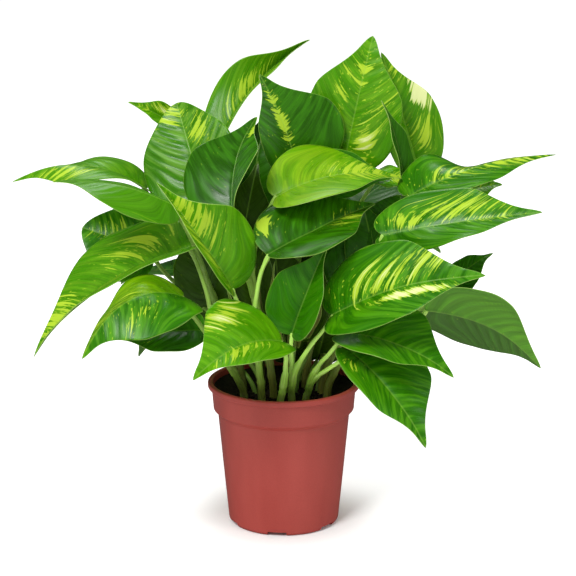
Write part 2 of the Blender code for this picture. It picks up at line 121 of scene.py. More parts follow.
# Each blade: its place as in the solid model, in mm and degrees, then its looks
# marks are patches of streaks: (along 0..1, across -1..1, reach along, reach across, strength, cream)
leaves = {
    "leaf_left_top_back": dict(stem="left_back", base=(-83, 88, 301), tip=(-125, 78, 324), width=24,
        face=(0, 40), arch=0.05, fold=(40, 50), green="fresh",
        marks=[(0.35, 0.5, 0.35, 0.5, 0.42, 0.3), (0.7, 0, 0.3, 0.5, 0.25, 0)]),
    "leaf_left_round": dict(stem="left_back", base=(-60, 17, 253), tip=(-85, 61, 326), lean=-0.05, width=76,
        face=(-14, 32), arch=0.03, fold=(10, 26), cup=-24, point=0.3, green="grey", quilting=0.5,
        marks=[(0.68, 0.35, 0.28, 0.4, 0.28, 0), (0.9, -0.2, 0.15, 0.5, 0.24, 0)]),
    "leaf_left_tall": dict(stem="left_back", base=(-52, 53, 291), tip=(21, 103, 371), turning=(0.15, 0.85),
        lean=0.15, width=60, face=(-10, 30), arch=0, fold=(0, 75), tipFold=(72, 62), cup=-9, sweep=-0.09,
        green="mid", marks=[(0.45, -0.2, 0.35, 0.35, 0.3, 0.05), (0.5, 0.6, 0.4, 0.4, 0.2, 0.1)]),
    "leaf_left_centre": dict(stem="middle", base=(-38, -30, 249), tip=(-23, 12, 323), width=78, face=(-18, 25),
        arch=0, fold=(5, 76), tipFold=(42, 35), cup=-12, sweep=-0.08, hook=0.03, green="deep",
        marks=[(0.85, 0.2, 0.12, 0.14, 0.4, 0.1)]),
    "leaf_far_left": dict(stem="left", base=(-109, 33, 263), tip=(-212, 22, 270), width=56, face=(-6, 60),
        arch=0.2, fold=(42, 0), tipFold=(-10, -60), cup=-12, green="mid",
        marks=[(0.6, -0.35, 0.28, 0.5, 0.3, 0), (0.75, 0.3, 0.2, 0.4, 0.2, 0)]),
    "leaf_left_middle": dict(stem="left", base=(-83, -32, 263), tip=(-175, -25, 279), lean=-0.15, width=45,
        face=(-6, 50), arch=0.12, fold=(-5, -50), tipFold=(35, -40), cup=-5, lobe=0.14, green="mid"),
    "leaf_front_slant": dict(stem="front_left", base=(-38, -38, 198), tip=(-94, -58, 285), lobe=0.05,
        tipFold=(60, 65), turning=(0.3, 1), width=62, face=(11, 32), arch=0.12, fold=(60, 10), cup=-10,
        sweep=-0.02, lean=0.2, green="fresh", quilting=0.26,
        marks=[(0.65, 0.2, 0.35, 0.5, 0.3, 0), (0.5, -0.4, 0.5, 0.5, 0.3, 0.1)]),
    "leaf_left_shaded": dict(stem="left", base=(-103, 28, 209), tip=(-160, 36, 230), width=64, face=(-5, 40),
        arch=0.05, fold=(5, 5), cup=-10, point=0.3, marks=[(0.5, 0, 0.5, 0.7, 0.26, 0)]),
    "leaf_left_large": dict(stem="left_low", base=(-71, -27, 229), tip=(-195, -14, 138), width=84,
        face=(-23, 66), arch=0.08, fold=(34, 18), cup=-13, sweep=0.05, lean=0.1, green="mid",
        marks=[(0.78, 0.1, 0.2, 0.5, 0.32, 0.12), (0.45, -0.5, 0.35, 0.35, 0.27, 0.03),
        (0.25, 0.4, 0.25, 0.4, 0.27, 0)]),
    "leaf_left_curled": dict(stem="left_low", base=(-75, -61, 199), tip=(-147, -109, 164), tipFold=(-20, -30),
        turning=(0, 0.6), lean=-0.1, width=72, face=(-14, 70), arch=0.26, fold=(0, 18), cup=(-10, -10),
        green="mid", rightGreen="olive", leftGreen="plain",
        marks=[(0.6, 0.3, 0.4, 0.5, 0.24, 0), (0.5, -0.4, 0.4, 0.3, 0.2, 0)]),
    "leaf_left_low": dict(stem="left_low", base=(-63, -37, 166), tip=(-131, -45, 161), lean=0.05, width=46,
        face=(-12, 45), arch=0.05, fold=(20, 10), green="deep", marks=[(0.5, -0.5, 0.3, 0.4, 0.12, 0)]),
    "leaf_front_low": dict(stem="front", base=(-1, -54, 162), tip=(-66, -113, 149), lean=0.2, lobe=0.08,
        width=66, face=(-5, 45), arch=0.12, fold=(20, 20), cup=-8, sweep=0.05, green="fresh",
        marks=[(0.45, 0.65, 0.3, 0.3, 0.38, 0.28), (0.5, -0.2, 0.4, 0.3, 0.32, 0)]),
    "leaf_front_small": dict(stem="front_right", base=(6, -40, 163), tip=(33, -46, 235), lobe=0.05, lean=-0.12,
        width=50, face=(-9, 29), arch=0.05, fold=(20, 42), cup=-10),
    "leaf_centre": dict(stem="front_left", base=(-12, -44, 227), tip=(71, 4, 256), lobe=0.06, width=76,
        face=(-7, 50), arch=0.06, fold=(18, 42), cup=-30, sweep=0.02, green="deep",
        marks=[(0.12, -0.6, 0.14, 0.3, 0.36, 0), (0.7, 0.2, 0.3, 0.5, 0.25, 0)]),
    "leaf_centre_bright": dict(stem="middle", base=(-6, -10, 264), tip=(92, 10, 275), turning=(0, 0.9),
        width=74, face=(0, 8), arch=0, fold=(-30, 75), tipFold=(-62, 75), cup=-8, sweep=-0.1, lobe=0.1,
        green="mid", tipGreen="fresh", rightGreen="lime", leftGreen="lime",
        marks=[(0.7, -0.1, 0.35, 0.7, 0.3, 0), (0.95, 0, 0.15, 0.5, 0.3, 0)]),
    "leaf_centre_dark": dict(stem="centre", base=(10, 34, 275), tip=(86, 32, 271), width=40, face=(0, 15),
        arch=0.06, fold=(10, 10), cup=-8),
    "leaf_centre_behind": dict(stem="right_back", base=(72, 39, 270), tip=(106, 34, 267), width=26,
        face=(0, 60), arch=0.06, green="fresh", marks=[(0.6, 0, 0.4, 0.8, 0.32, 0.1)]),
    "leaf_top_dark": dict(stem="centre", base=(12, 41, 270), tip=(-19, 42, 351), lobe=0.06, width=70,
        face=(0, 18), arch=0, fold=(30, 10), cup=-10, sweep=0.04, lean=0.3, green="deep",
        marks=[(0.6, -0.05, 0.4, 0.2, 0.34, 0), (0.4, -0.6, 0.3, 0.3, 0.15, 0)]),
    "leaf_shaded_middle": dict(stem="left_back", base=(-26, 58, 245), tip=(-14, 80, 314), width=60,
        face=(-10, 20), green="deep"),
    "leaf_top_tall": dict(stem="right_back", base=(48, 50, 280), tip=(70, 54, 380), point=0.8, width=76,
        face=(-6, 22), arch=0.04, fold=(10, 14), cup=-16, green="mid", quilting=0.28,
        marks=[(0.5, -0.4, 0.35, 0.3, 0.22, 0.05), (0.7, 0, 0.25, 0.25, 0.24, 0.05),
        (0.2, 0.35, 0.25, 0.3, 0.31, 0.2), (0.55, 0.4, 0.4, 0.5, 0.2, 0)]),
    "leaf_top_back": dict(stem="right_high", base=(108, 68, 271), tip=(77, 62, 366), lean=0.1, width=52,
        face=(8, 12), arch=0.06, fold=(30, 12), cup=-6, green="mid", marks=[(0.62, 0.65, 0.17, 0.3, 0.55, 0.6),
        (0.3, 0.45, 0.25, 0.5, 0.28, 0.1), (0.85, 0.2, 0.12, 0.4, 0.3, 0.1)]),
    "leaf_top_rolled": dict(stem="right_back", base=(96, 28, 264), tip=(76, 28, 333), width=22, face=(45, 15),
        arch=0.04, fold=(40, 40), green="deep"),
    "leaf_right_high": dict(stem="right_high", base=(96, -2, 263), tip=(210, 8, 294), tipFold=(-52, 10),
        turning=(0.15, 0.5), lean=-0.3, width=54, face=(0, 46), arch=0.12, fold=(-5, 20), cup=-10,
        marks=[(0.7, 0, 0.35, 0.6, 0.3, 0.15), (0.35, -0.1, 0.35, 0.5, 0.26, 0)]),
    "leaf_right_behind": dict(stem="right_high", base=(136, 38, 255), tip=(172, 30, 266), width=34,
        face=(20, 50), green="fresh", marks=[(0.6, 0, 0.4, 0.6, 0.2, 0)]),
    "leaf_right_inner": dict(stem="right_high", base=(87, 20, 227), tip=(92, 24, 259), width=52, face=(0, 20),
        point=0.3, green="deep"),
    "leaf_right_upper": dict(stem="right", base=(74, -34, 240), tip=(192, -60, 263), tipFold=(3, 15),
        turning=(0.1, 0.6), lean=-0.3, width=50, face=(1, 45), arch=0.02, fold=(3, -35), cup=-6,
        rightGreen="plain", marks=[(0.45, -0.4, 0.5, 0.55, 0.29, 0.12), (0.15, -0.3, 0.2, 0.4, 0.32, 0.2),
        (0.7, 0, 0.25, 0.25, 0.26, 0)]),
    "leaf_right_hidden": dict(stem="right", base=(130, 22, 186), tip=(164, 12, 215), lean=0.3, width=30,
        face=(0, 50)),
    "leaf_front_large": dict(stem="front_right", base=(36, -50, 181), tip=(148, -90, 222), width=68,
        face=(10, 39), arch=0.07, fold=(20, 20), cup=-18, sweep=-0.03, lean=-0.15, quilting=0.34,
        marks=[(0.4, -0.3, 0.4, 0.45, 0.28, 0.2), (0.65, -0.45, 0.25, 0.3, 0.28, 0.15),
        (0.58, 0.25, 0.3, 0.16, 0.46, 0.4)]),
    "leaf_right_underside": dict(stem="right", base=(110, -12, 176), tip=(200, -22, 131), width=84,
        face=(148, 36), arch=0.12, fold=(8, 8), cup=-10, green="deep", quilting=0.6, rightGreen="mid"),
    "leaf_right_plain": dict(stem="right_low", base=(45, -45, 166), tip=(127, -83, 142), lean=-0.2, sweep=-0.02,
        width=60, face=(18, 50), arch=0.1, fold=(10, 16), cup=-6, marks=[(0.9, 0.2, 0.1, 0.4, 0.12, 0)]),
    "leaf_right_low": dict(stem="right_low", base=(49, -40, 152), tip=(107, -84, 87), lean=-0.3, width=62,
        face=(20, 46), arch=0.1, fold=(14, 14), cup=-18, marks=[(0.12, 0.6, 0.12, 0.4, 0.25, 0)]),
}

# The back's blades: turn round the pot's axis from +Y towards +X, then (radius, height) of both ends.
backLeaves = {
    "leaf_back_high_left": dict(stem="back_left", turn=-21, base=(86, 246), tip=(172, 262), width=74, rise=45),
    "leaf_back_high": dict(stem="back", turn=10, base=(80, 274), tip=(162, 304), width=78, rise=35,
        green="fresh", marks=[(0.5, 0.3, 0.35, 0.5, 0.3, 0.1)]),
    "leaf_back_high_right": dict(stem="back_right", turn=38, base=(86, 232), tip=(172, 252), width=72, rise=45),
    "leaf_back_far_left": dict(stem="back_left", turn=-54, base=(92, 188), tip=(168, 168), width=76, rise=60,
        marks=[(0.55, -0.3, 0.4, 0.5, 0.28, 0)]),
    "leaf_back_middle_left": dict(stem="back_left", turn=-30, base=(94, 208), tip=(190, 184), width=80,
        rise=52),
    "leaf_back_middle": dict(stem="back", turn=10, base=(94, 218), tip=(190, 198), width=82, rise=52,
        green="grey", marks=[(0.5, 0, 0.4, 0.7, 0.28, 0.1)]),
    "leaf_back_middle_right": dict(stem="back_right", turn=46, base=(94, 206), tip=(184, 188), width=78,
        rise=54, green="fresh", marks=[(0.7, 0.3, 0.2, 0.4, 0.2, 0)]),
    "leaf_back_far_right": dict(stem="back_right", turn=64, base=(92, 186), tip=(160, 172), width=58, rise=58),
    "leaf_back_low_left": dict(stem="back_left", turn=-58, base=(80, 158), tip=(142, 112), width=70, rise=42,
        green="deep"),
    "leaf_back_low_middle_left": dict(stem="back", turn=-14, base=(80, 164), tip=(156, 118), width=74, rise=42,
        marks=[(0.5, 0.4, 0.35, 0.4, 0.28, 0.1)]),
    "leaf_back_low_middle": dict(stem="back", turn=24, base=(80, 156), tip=(144, 98), width=68, rise=36),
    "leaf_back_low_right": dict(stem="back_right", turn=62, base=(82, 152), tip=(144, 106), width=68, rise=42,
        marks=[(0.6, -0.3, 0.3, 0.4, 0.25, 0)]),
}

# Crowded blades in the middle, each with a bare shoot of its own up from the peat
innerLeaves = {
    "inner_left_front": dict(base=(-20, 18, 151), tip=(-36, 24, 248), width=44, face=(-8, 20), green="shaded"),
    "inner_middle_low": dict(base=(10, 12, 148), tip=(30, 8, 218), width=40, face=(4, 24), green="shaded"),
    "inner_right": dict(base=(38, 14, 176), tip=(69, 16, 244), width=44, face=(12, 24), green="deep"),
    "inner_left": dict(base=(-55, 8, 173), tip=(-74, 12, 238), width=46, face=(-20, 30), green="shaded"),
    "inner_left_low": dict(base=(-60, 18, 150), tip=(-90, 14, 188), width=34, face=(-20, 35), green="shaded"),
    "inner_front_low": dict(base=(7, 22, 133), tip=(-20, 16, 190), width=38, face=(-4, 24), green="shaded"),
    "inner_middle": dict(base=(-35, 28, 204), tip=(-20, 36, 284), width=40, face=(-6, 18), green="shaded"),
    "inner_right_back": dict(base=(13, 32, 172), tip=(52, 36, 224), width=46, face=(8, 22), green="shaded"),
    "inner_right_gap": dict(base=(72, 14, 198), tip=(61, 18, 256), width=46, face=(10, 20), green="deep"),
    "inner_centre": dict(base=(0, 16, 160), tip=(-9, 20, 232), width=46, face=(-2, 20), green="shaded"),
    "inner_back_right": dict(base=(27, 40, 120), tip=(38, 36, 176), width=44, face=(10, 20), green="shaded"),
    "inner_back_middle": dict(base=(6, 44, 118), tip=(8, 42, 172), width=44, face=(0, 20), green="shaded"),
    # papery sheaths left by older blades
    "sheath_middle": dict(base=(-1, 2, 143), tip=(-7, 0, 211), width=13, face=(-30, 10), fold=(50, 50),
        green="papery"),
    "sheath_front": dict(base=(10, -6, 145), tip=(7, -8, 203), width=11, face=(20, 10), fold=(55, 55),
        green="papery"),
    "sheath_left": dict(base=(-6, 6, 140), tip=(-19, 4, 204), width=12, face=(-50, 10), fold=(50, 50),
        green="papery"),
    "sheath_right": dict(base=(18, 4, 150), tip=(23, 2, 214), width=12, face=(40, 10), fold=(50, 50),
        green="papery"),
    "sheath_far_left": dict(base=(-25, -4, 140), tip=(-44, -8, 192), width=11, face=(-10, 10), fold=(55, 55),
        green="papery"),
}

def placedLeaf(name, leaf):
    full = {"arch": 0.1, "fold": (12, 12), "turning": (0, 1), "cup": -15, "sweep": 0, "hook": 0, "lean": 0,
            "point": 1, "lobe": lamina["lobeDepth"], "green": "plain", "marks": [],
            "quilting": lamina["quilting"], "seed": sum(ord(c) for c in name) % 97, **leaf}
    full.setdefault("tipFold", full["fold"])
    if not isinstance(full["cup"], tuple):
        full["cup"] = (full["cup"], full["cup"])
    if "turn" in full:
        way = Vector((math.sin(math.radians(full["turn"])), math.cos(math.radians(full["turn"])), 0))
        full["base"], full["tip"] = [way * radius + Vector((0, 0, height)) for radius, height in
                                     (full["base"], full["tip"])]
        full["face"] = (180 - full["turn"], full["rise"])
    base, tip = Vector(full["base"]) * mm, Vector(full["tip"]) * mm
    turn, rise = (math.radians(angle) for angle in full["face"])
    out = Vector((math.sin(turn) * math.cos(rise), -math.cos(turn) * math.cos(rise), math.sin(rise)))
    along = (tip - base).normalized()
    out = (out - along * out.dot(along)).normalized()
    full.update(base=base, length=(tip - base).length, along=along, out=out, side=along.cross(out),
                halfWidth=full["width"] / 2 * mm)
    return full

def halfWidth(x, point):
    # ovate, and with point 1 drawn in to a slim drip tip
    return x ** 0.42 * (1 - x) ** (0.6 + 0.15 * point) * (1 - 0.6 * point * smooth(0.55, 0.92, x))

widest = max(halfWidth(i / 200, 1) for i in range(201))

def outline(leaf, u, v):
    # u from stalk to tip, v across; x runs along the midrib and back into the lobes, y across
    edge = min(1, u**1.55 + 0.10 * u * math.sin(math.pi * u))
    width = halfWidth(edge, leaf["point"]) / widest
    lobe = leaf["lobe"] * math.exp(-edge / 0.16) * (1 - math.exp(-width / 0.33))
    middle = u**1.12
    return middle + (edge - lobe - middle) * abs(v) ** 1.15, width * v, width

def veinStart(x, y):
    # where the side vein through this place leaves the midrib: it runs forward to the margin, or back in a lobe
    t = min(1, abs(y))
    forward = -0.08 + 0.50 * smooth(-0.1, 0.45, x)
    return x - forward * (0.45 * t + 0.55 * t * t)

def veinGap(start):
    # from the nearest side vein, where 1 is the gap between two
    return (start * lamina["sideVeins"] + 0.5) % 1 - 0.5

def relief(leaf, u, v, x, y, width):
    yMm = abs(y) * leaf["halfWidth"] / mm
    bulge = -math.cos(math.tau * lamina["sideVeins"] * veinStart(x, y))
    bulge *= smooth(0, 0.25, abs(v)) * smooth(0, 0.3, 1 - abs(v))
    height = leaf["quilting"] * bulge * smooth(0, 0.1, x) * smooth(0, 0.25, 1 - x)
    height -= lamina["groove"] * math.exp(-(yMm / 1.3) ** 2) * smooth(0, 0.9, 1 - x)
    seed = leaf["seed"]
    wave = math.sin(math.tau * (2.7 * u + seed * 0.37) + (2 if v > 0 else 0))
    height += lamina["waves"] * abs(v) ** 4 * width * wave
    drift = noise.noise(Vector((x * 2.3, y * 1.7, seed * 1.9)))
    return (height + lamina["drift"] * drift * smooth(0, 0.3, x) * smooth(0, 0.15, 1 - x)) * mm

def bend(slope, curl, reach):
    # across and out, for a half that leaves the midrib at a slope and turns by curl on its way to the margin
    slope, curl = math.radians(slope), math.radians(curl)
    if abs(curl) < 0.01:
        return reach * math.cos(slope), reach * math.sin(slope)
    end = slope + curl * reach
    return (math.sin(end) - math.sin(slope)) / curl, (math.cos(slope) - math.cos(end)) / curl

def onBlade(leaf, u, v):
    x, y, width = outline(leaf, u, v)
    half = int(v > 0)
    slope = leaf["fold"][half] + (leaf["tipFold"][half] - leaf["fold"][half]) * smooth(*leaf["turning"], x)
    across, lift = bend(slope, leaf["cup"][half], abs(y) * (1 + (leaf["lean"] if half else -leaf["lean"])))
    across = math.copysign(across, v) * leaf["halfWidth"]
    lift = lift * leaf["halfWidth"] + relief(leaf, u, v, x, y, width)
    bow, tipward = 4 * x * (1 - x) * leaf["length"], max(0, (x - 0.6) / 0.4) ** 2 * leaf["length"]
    outward = leaf["arch"] * bow + lift
    sideways = leaf["sweep"] * bow + leaf["hook"] * tipward + across
    return leaf["base"] + leaf["along"] * leaf["length"] * x + leaf["out"] * outward + leaf["side"] * sideways

def ribWeight(leaf, u, v, x, y):
    # share of the full thickness: a rib under the midrib that thins to the tip, and faint ribs under side veins
    yMm = abs(y) * leaf["halfWidth"] / mm
    rib = math.exp(-(yMm / 1.2) ** 2) * smooth(-0.1, 0.9, 1 - x)
    sideRib = 0.16 * math.exp(-(veinGap(veinStart(x, y)) / 0.1) ** 2) * smooth(0, 0.5, 1 - abs(v))
    return lamina["thinShare"] + (1 - lamina["thinShare"]) * max(rib, sideRib)

def streakMarks(leaf, x, y):
    streak = cream = 0
    for markX, markY, reachX, reachY, strength, creamy in leaf["marks"]:
        patch = math.exp(-((x - markX) / reachX) ** 2 - ((y - markY) / reachY) ** 2)
        streak, cream = max(streak, strength * patch), max(cream, creamy * patch)
    return streak, cream

def makeLeaf(name, leaf, skins):
    inner = name in innerLeaves
    leaf = placedLeaf(name, leaf)
    bm = bmesh.new()
    # leafPlace: nearness to a side vein, mm from the midrib, mm in from the margin
    # veinPlace: mm along the midrib to the side vein's foot, mm across, the blade's own number
    leafPlace, veinPlace, marks, shade, pale = (bm.verts.layers.float_vector.new(layer) for layer in
                                                ("leafPlace", "veinPlace", "marks", "shade", "pale"))
    rib = bm.verts.layers.deform.verify()
    detail = lamina["innerDetail"] if inner else 1
    rows, columns = round(lamina["rows"] * detail), round(lamina["columns"] * detail)
    bmesh.ops.create_grid(bm, x_segments=rows, y_segments=columns, size=0.5)
    left, right, far = (greens[leaf.get(key, leaf["green"])] for key in ("leftGreen", "rightGreen", "tipGreen"))
    tones = [[Vector(srgb(tone)) for tone in three] for three in zip(left, right, far)]
    for vert in bm.verts:
        u, v = vert.co.x + 0.5, -2 * vert.co.y
        v = math.copysign(abs(v) ** lamina["closer"], v)
        x, y, width = outline(leaf, u, v)
        vert.co = onBlade(leaf, u, v)
        start, yMm = veinStart(x, y), y * leaf["halfWidth"] / mm
        line = math.exp(-(veinGap(start) / lamina["veinWidth"]) ** 2)
        line *= smooth(0, 0.2, 1 - abs(v)) * smooth(0, 0.12, 1 - x)
        edge = (1 - abs(v)) * width * leaf["halfWidth"] / mm
        vert[leafPlace] = (line, yMm, min(edge, (1 - x) * leaf["length"] / mm / 3))
        vert[veinPlace] = (start * leaf["length"] / mm, yMm, leaf["seed"] * 7.3)
        vert[marks] = (*streakMarks(leaf, x, y), lamina["mottled"][bool(leaf["marks"])])
        across = smooth(-lamina["halfBlend"], lamina["halfBlend"], y)
        along = smooth(*lamina["tipBlend"], x) if "tipGreen" in leaf else 0
        vert[shade], vert[pale] = (a.lerp(b, across).lerp(c, along) for a, b, c in tones)
        vert[rib][0] = ribWeight(leaf, u, v, x, y)
    bmesh.ops.remove_doubles(bm, verts=bm.verts, dist=0.01 * mm)
    bm.normal_update()
    if sum(face.normal.dot(leaf["out"]) for face in bm.faces) < 0:
        bmesh.ops.reverse_faces(bm, faces=bm.faces)
    if inner:
        piece = finishPiece(name, bm, None, skins)
    else:
        piece = finishPiece("blade_" + name[5:], bm, name, skins)
    piece.vertex_groups.new(name="rib")
    body = piece.modifiers.new("bladeThickness", "SOLIDIFY")
    body.thickness = lamina["thickness"] * mm
    body.offset = -1
    body.vertex_group = "rib"
    body.material_offset = 1
    body.material_offset_rim = 2

leafFinish = {
    "yellow": "#AECF30",     # young streaks
    "cream": "#E4EBA4",      # where a streak has no green left
    "rib": "#8FBE46",        # midrib and margin
    "streakWidth": 3.4,      # mm across a streak
    "streakLength": 42,      # mm along it, following the side veins
    "mottleWidth": 5,
    "mottleLength": 18,
    "fibreWidth": 0.75,      # mm between the finest veins
    "fibreLength": 20,
    "faceVeinShade": 0.88,       # side veins are darker on the face, a painted shade in their grooves, and paler on the back, partly their own tone and partly a painted highlight on the raised ribs
    "backVeinPaleAndLit": 1.5,
    "roughness": (0.24, 0.4),
    "backRoughness": 0.55,
    "backGrey": "#7E9A5C",
    "greyed": 0.24,
}

def leafPaint(tree, veinGain):
    # colour of a blade from the patterns that follow its veins; the two faces share it
    look = leafFinish
    vein, shade, pale, leafPlace, marks = (addNode(tree, "Attribute", {}, attribute_name=name).outputs["Vector"]
                                           for name in ("veinPlace", "shade", "pale", "leafPlace", "marks"))
    nearVein, offRib, offMargin = addNode(tree, "SeparateXYZ", {0: leafPlace}).outputs
    streakMark, creamMark, mottleMark = addNode(tree, "SeparateXYZ", {0: marks}).outputs
    stretched = addNode(tree, "Mapping", {0: vein, 3: (1 / look["mottleWidth"], 1 / look["mottleLength"], 1)})
    mottle = addNode(tree, "TexNoise", {0: stretched, "Scale": 1, "Detail": 3})
    mottled = addNode(tree, "MapRange", {0: mottle, 1: 0.42, 2: 0.62}, interpolation_type="SMOOTHSTEP")
    amount = addNode(tree, "Math", {0: mottled, 1: mottleMark}, operation="MULTIPLY")
    green = addNode(tree, "Mix", {0: amount, 6: shade, 7: pale}, data_type="RGBA")
    # fine fibres between the veins
    thin = addNode(tree, "Mapping", {0: vein, 3: (1 / look["fibreWidth"], 1 / look["fibreLength"], 1)})
    fibre = addNode(tree, "TexNoise", {0: thin, "Scale": 1, "Detail": 2})
    gain = addNode(tree, "MapRange", {0: fibre, 1: 0.3, 2: 0.7, 3: 0.8, 4: 1.2})
    # side veins scaled by veinGain: painted shade in the face's grooves; on the back a paler tone that is partly
    # painted highlight on the raised ribs
    ribbed = addNode(tree, "MapRange", {0: nearVein, 1: 0, 2: 1, 3: 1, 4: veinGain})
    shaded = addNode(tree, "Math", {0: gain, 1: ribbed}, operation="MULTIPLY")
    varied = addNode(tree, "VectorMath", {0: green, "Scale": shaded}, operation="SCALE")
    # streaks gather where the marks say, with flecks round them, and turn cream where they are thickest
    along = addNode(tree, "Mapping", {0: vein, 3: (1 / look["streakWidth"], 1 / look["streakLength"], 1)})
    streaks = addNode(tree, "TexNoise", {0: along, "Scale": 1, "Detail": 5, "Roughness": 0.6})
    lifted = addNode(tree, "Math", {0: streaks, 1: streakMark}, operation="ADD")
    streak = addNode(tree, "MapRange", {0: lifted, 1: 0.75, 2: 0.80}, interpolation_type="SMOOTHSTEP")
    dots = addNode(tree, "Mapping", {0: vein, 3: (0.75, 0.3, 1)})    # flecks 1.3 by 3.3 mm
    speckle = addNode(tree, "TexNoise", {0: dots, "Scale": 1, "Detail": 1})
    fleckLift = addNode(tree, "Math", {0: streakMark, 1: 0.6, 2: speckle}, operation="MULTIPLY_ADD")
    flecks = addNode(tree, "MapRange", {0: fleckLift, 1: 0.76, 2: 0.82, 4: 0.8})
    painted = addNode(tree, "Math", {0: streak, 1: flecks}, operation="MAXIMUM")
    yellowed = addNode(tree, "Mix", {0: painted, 6: varied, 7: (*srgb(look["yellow"]), 1)}, data_type="RGBA")
    creamLift = addNode(tree, "Math", {0: streaks, 1: creamMark}, operation="ADD")
    creamy = addNode(tree, "MapRange", {0: creamLift, 1: 0.76, 2: 0.88}, interpolation_type="SMOOTHSTEP")
    creamed = addNode(tree, "Mix", {0: creamy, 6: yellowed, 7: (*srgb(look["cream"]), 1)}, data_type="RGBA")
    # pale midrib and margin
    toRib = addNode(tree, "Math", {0: offRib}, operation="ABSOLUTE")
    ribLine = addNode(tree, "MapRange", {0: toRib, 1: 0.8, 2: 0.3, 3: 0, 4: 0.3})
    margin = addNode(tree, "MapRange", {0: offMargin, 1: 0.6, 2: 0.2, 3: 0, 4: 0.4})
    outlined = addNode(tree, "Math", {0: ribLine, 1: margin}, operation="MAXIMUM")
    colour = addNode(tree, "Mix", {0: outlined, 6: creamed, 7: (*srgb(look["rib"]), 1)}, data_type="RGBA")
    return colour, fibre, mottle

def makeLeafSkins():
    look = leafFinish
    # Living leaf with a cuticle of wax: a soft, slightly broken gloss over veined and streaked green
    face, tree, shader = newMaterial("waxyLeafFace", {"IOR": 1.45, "Specular IOR Level": 0.3})
    colour, fibre, mottle = leafPaint(tree, look["faceVeinShade"])
    satin, dull = look["roughness"]
    rough = addNode(tree, "MapRange", {0: mottle, 1: 0.3, 2: 0.7, 3: satin, 4: dull})
    bump = addNode(tree, "Bump", {"Height": fibre, "Strength": 0.5, "Distance": 0.16 * mm})
    connect(tree, shader, {"Base Color": colour, "Roughness": rough, "Normal": bump})
    # Its underside has no wax to speak of: duller, paler and greyer, with the veins standing out
    back, tree, shader = newMaterial("leafUnderside", {"IOR": 1.4, "Specular IOR Level": 0.3,
                                                       "Roughness": look["backRoughness"]})
    colour, fibre, mottle = leafPaint(tree, look["backVeinPaleAndLit"])
    greyed = addNode(tree, "Mix", {0: look["greyed"], 6: colour, 7: (*srgb(look["backGrey"]), 1)},
                     data_type="RGBA")
    bump = addNode(tree, "Bump", {"Height": fibre, "Strength": 0.4, "Distance": 0.15 * mm})
    connect(tree, shader, {"Base Color": greyed, "Normal": bump})
    # The cut of the margin: a thin pale callus
    rim, tree, shader = newMaterial("leafMargin", {"Roughness": 0.5})
    grain = addNode(tree, "TexNoise", {0: addNode(tree, "TexCoord", {}).outputs["Object"], "Scale": 900})
    colour = addNode(tree, "Mix", {0: grain, 6: (*srgb("#7FAE3A"), 1), 7: (*srgb("#A9C766"), 1)},
                     data_type="RGBA")
    connect(tree, shader, {"Base Color": colour})
    return [face, back, rim]

stemPlaces = {  # where each stands in the peat, and its top, in mm
    "front": ((-3, -37), (0, -43, 124)),
    "front_right": ((6, -27), (7, -37, 128)),
    "right_low": ((17, -20), (21, -28, 122)),
    "front_left": ((-17, -27), (-20, -36, 150)),
    "left_low": ((-31, -12), (-45, -24, 140)),
    "left": ((-32, 6), (-50, 0, 170)),
    "middle": ((-8, -9), (-24, -8, 190)),
    "left_back": ((-18, 24), (-30, 38, 210)),
    "centre": ((4, 8), (10, 18, 205)),
    "right_back": ((17, 18), (42, 26, 205)),
    "right_high": ((30, 6), (72, 20, 185)),
    "right": ((34, -6), (66, -14, 165)),
    "back_right": ((27, 30), (45, 60, 150)),
    "back": ((5, 38), (4, 56, 160)),
    "back_left": ((-20, 40), (-38, 62, 150)),
}

stemShape = {
    "peatTop": 101,
    "depth": 8,
    "footRadius": 3.2,
    "topRadius": 2.5,
    "nodeSpacing": 19,       # mm between leaf scars
    "nodeSwelling": 0.5,
    "stalkFoot": 2.3,
    "stalkTop": 1.55,
    "knee": 0.55,            # mm that the joint under a blade is thicker than its stalk
    "sheathShare": 0.34,     # of the stalk, wrapped by its sheath
    "sheathSwelling": 1.1,
    "sides": 14,
    "firstStalk": 0.94,      # share of the stem at which its last stalk leaves
    "nextStalk": 0.17,
    "reach": 0.38,
    "tones": ("#70712C", "#8AB440", "#AEDA60"),    # foot, top, and the stalks' upper ends
    "shootTones": ("#5E7A2C", "#8CBB48"),
    "paleSkin": "#A9BF72",
}

def bezier(points, share):
    a, b, c, d = points
    rest = 1 - share
    place = a * rest**3 + b * 3 * rest**2 * share + c * 3 * rest * share**2 + d * share**3
    way = (b - a) * rest**2 + (c - b) * 2 * rest * share + (d - c) * share**2
    return place, way.normalized()

def sweepTube(bm, path, radius, tones, seed, squash=0.0):
    # path and tones are read by share of length, radius too; the tube's ends close in a point
    place, tone = (bm.verts.layers.float_vector[layer] for layer in ("stemPlace", "stemTone"))
    rings = len(path) - 1
    before = set(bm.verts)
    bmesh.ops.create_grid(bm, x_segments=stemShape["sides"], y_segments=rings, size=0.5)
    ways = [(path[min(i + 1, rings)] - path[max(i - 1, 0)]).normalized() for i in range(rings + 1)]
    across = ways[0].orthogonal().normalized()
    frames = []
    for way in ways:
        across = (across - way * across.dot(way)).normalized()
        frames.append((across.copy(), way.cross(across)))
    lengths = [0]
    for i in range(rings):
        lengths.append(lengths[-1] + (path[i + 1] - path[i]).length)
    tube = [vert for vert in bm.verts if vert not in before]
    for vert in tube:
        ring, turn = round((vert.co.y + 0.5) * rings), math.tau * (vert.co.x + 0.5)
        share = lengths[ring] / lengths[-1]
        size = 0 if ring in (0, rings) else radius(share)
        first, second = frames[ring]
        vert.co = path[ring] + (first * math.cos(turn) + second * math.sin(turn) * (1 - squash)) * size
        vert[place] = (lengths[ring] / mm, math.cos(turn) * 2.5, math.sin(turn) * 2.5 + seed * 11)
        vert[tone] = tones(share)
    bmesh.ops.remove_doubles(bm, verts=tube, dist=0.02 * mm)

